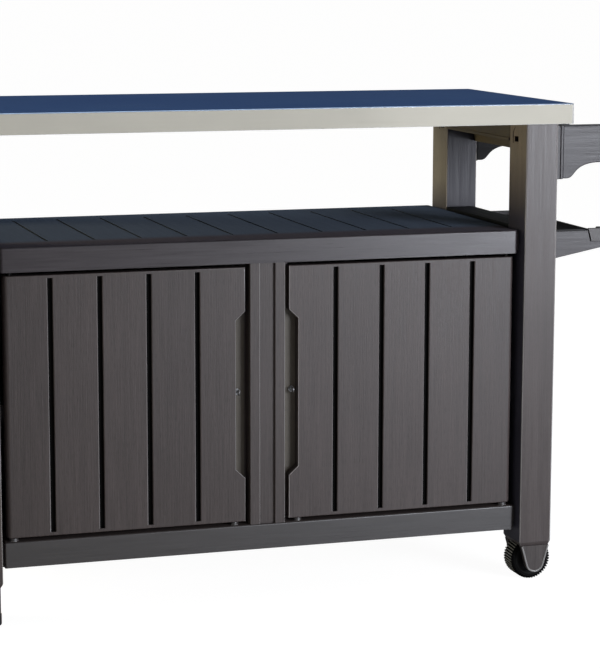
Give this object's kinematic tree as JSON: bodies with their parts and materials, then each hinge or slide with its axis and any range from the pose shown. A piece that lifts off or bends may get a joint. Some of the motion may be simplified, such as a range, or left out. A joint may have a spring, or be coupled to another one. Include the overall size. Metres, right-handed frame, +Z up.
{
  "type": "grill cart with storage",
  "caption": "Free-standing outdoor grill cart: steel-topped worktop on box legs over an open shelf and a two-door cabinet, with wheels, a side tray and a handle bar at one end.",
  "frame": {"origin": "on the floor, under the centre of the overall length and depth, handle arms included", "axes": "+X along the length towards the wheeled end with the handle, -Y out of the doors, +Z up"},
  "size_m": [1.346, 0.52, 0.9],
  "materials": {
    "steel_sheet": "brushed stainless sheet",
    "resin": "matt dark brown resin with a fine wood-grain texture",
    "wheel_tread": "matt black, moulded tread",
    "wheel_body": "satin black",
    "plated_steel": "zinc plated",
    "foot_rubber": "matt black"
  },
  "bodies": {
    "cart": {"worktop_skin": "steel_sheet", "worktop_core": "resin", "worktop_screws": "plated_steel", "leg_left_front": "resin", "leg_left_back": "resin", "leg_right_front": "resin", "leg_right_back": "resin", "apron_right": "resin", "apron_left": "resin", "side_rail_upper_right": "resin", "side_rail_upper_left": "resin", "side_rail_lower_right": "resin", "side_rail_lower_left": "resin", "side_panel_right": "resin", "side_panel_left": "resin", "cabinet_top": "resin", "cabinet_floor": "resin", "back_panel": "resin", "centre_post": "resin", "interior_shelf": "resin", "shelf_cleats": "resin", "axle_front": "plated_steel", "axle_back": "plated_steel", "fork_cap_front": "resin", "fork_cap_back": "resin", "foot_cap_front": "resin", "foot_cap_back": "resin", "foot_pad_front": "foot_rubber", "foot_pad_back": "foot_rubber", "handle_arm_front": "resin", "handle_arm_back": "resin", "arm_socket_front": "resin", "arm_socket_back": "resin", "arm_bolts": "plated_steel", "tray_bracket_front": "resin", "tray_bracket_back": "resin", "tray_floor": "resin", "tray_rail": "resin", "tray_rail_pegs": "resin", "tray_screws": "plated_steel"},
    "door_right": {"door_front_right": "resin", "door_back_right": "resin", "door_screws_right": "plated_steel", "hinge_pins_right": "plated_steel", "lock_eye_right": "plated_steel"},
    "door_left": {"door_front_left": "resin", "door_back_left": "resin", "door_screws_left": "plated_steel", "hinge_pins_left": "plated_steel", "lock_eye_left": "plated_steel"},
    "wheel_front": {"tyre_front": "wheel_tread", "wheel_hub_front": "wheel_body"},
    "wheel_back": {"tyre_back": "wheel_tread", "wheel_hub_back": "wheel_body"},
    "bar": {"towel_bar": "resin", "bar_end_plugs": "resin"}
  },
  "joints": [
    {"name": "door_right_hinge", "type": "hinge", "parent": "cart", "child": "door_right", "pos_m": [0.3655, -0.2073, 0.385], "axis": [0, 0, 1], "range_deg": [0, 105]},
    {"name": "door_left_hinge", "type": "hinge", "parent": "cart", "child": "door_left", "pos_m": [-0.5625, -0.2073, 0.385], "axis": [0, 0, 1], "range_deg": [-105, 0]},
    {"name": "wheel_front_spin", "type": "hinge", "parent": "cart", "child": "wheel_front", "pos_m": [0.4225, -0.2, 0.039], "axis": [0, 1, 0], "continuous": true},
    {"name": "wheel_back_spin", "type": "hinge", "parent": "cart", "child": "wheel_back", "pos_m": [0.4225, 0.2, 0.039], "axis": [0, 1, 0], "continuous": true},
    {"name": "bar_lift", "type": "slide", "parent": "cart", "child": "bar", "axis": [0, 0, 1], "range_m": [0, 0.07]}
  ]
}
